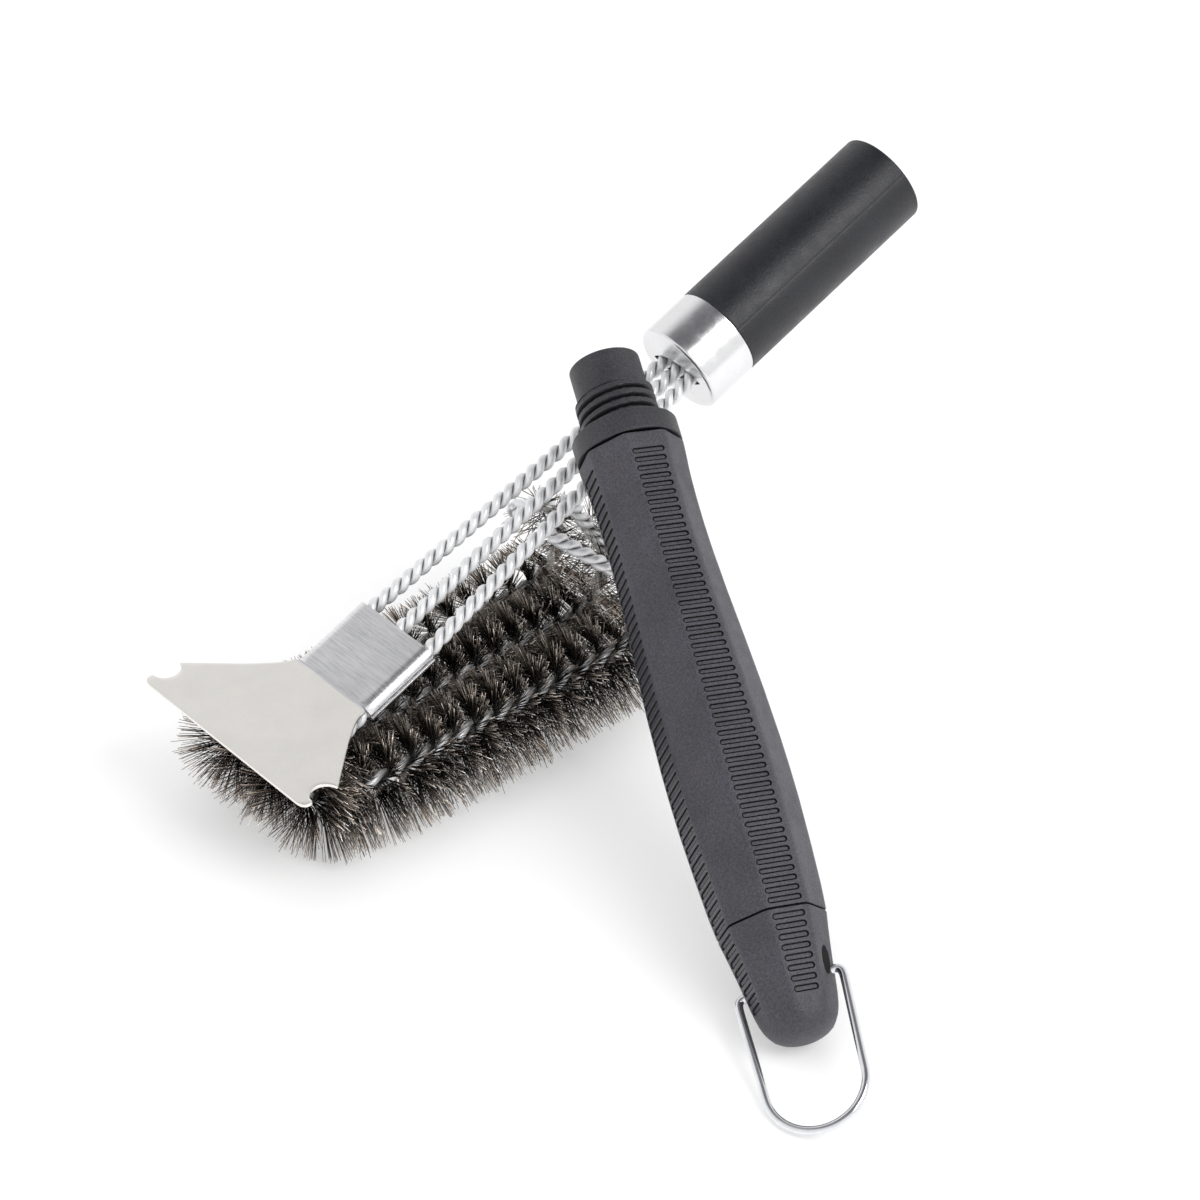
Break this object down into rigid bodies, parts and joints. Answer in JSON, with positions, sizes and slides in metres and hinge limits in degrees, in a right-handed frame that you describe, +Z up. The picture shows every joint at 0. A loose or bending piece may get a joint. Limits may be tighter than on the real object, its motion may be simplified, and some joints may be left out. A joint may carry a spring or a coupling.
{
  "type": "grill cleaning brush",
  "caption": "Wire grill brush with a stamped scraper on twisted stems, a short socket tube and a ribbed screw-on grip with a hanging loop, shown unscrewed.",
  "frame": {"origin": "centre of the bounding box on the ground that the brush rows stand on", "axes": "+X along the bristle rows from the scraper towards the socket tube, +Z up, +Y to the head's left with the scraper behind the viewer"},
  "size_m": [0.2632, 0.2357, 0.1361],
  "materials": {
    "tube_plastic": "satin black",
    "insert_plastic": "moulded, matt dark grey",
    "ferrule_steel": "polished",
    "galvanised_wire": "galvanised, twisted in pairs",
    "bristle_pack": null,
    "scraper_steel": "stamped stainless sheet, finely brushed",
    "thread_plastic": "moulded, matt near black",
    "grip_plastic": "moulded, satin charcoal",
    "cap_plastic": "moulded, satin charcoal",
    "screw_steel": "zinc plated",
    "loop_steel": "polished wire"
  },
  "bodies": {
    "head": {"handle_tube": "tube_plastic", "socket_insert": "insert_plastic", "ferrule": "ferrule_steel", "wire_anchor": "insert_plastic", "left_wire_inner": "galvanised_wire", "left_wire_outer": "galvanised_wire", "middle_wire_inner": "galvanised_wire", "middle_wire_outer": "galvanised_wire", "right_wire_inner": "galvanised_wire", "right_wire_outer": "galvanised_wire", "left_bristles": "bristle_pack", "middle_bristles": "bristle_pack", "right_bristles": "bristle_pack", "scraper": "scraper_steel"},
    "handle": {"threaded_plug": "thread_plastic", "core_tube": "insert_plastic", "grip": "grip_plastic", "tail_cap": "cap_plastic", "cap_screw": "screw_steel"},
    "loop": {"hanging_loop": "loop_steel"}
  },
  "joints": [
    {"name": "handle_lift", "type": "slide", "parent": "head", "child": "handle", "axis": [0, 0, 1], "range_m": [0, 0.12]},
    {"name": "loop_swing", "type": "hinge", "parent": "handle", "child": "loop", "pos_m": [-0.05812, -0.07639, 0.01465], "axis": [0.7626, -0.5476, 0.3445], "range_deg": [-115, 140]}
  ]
}
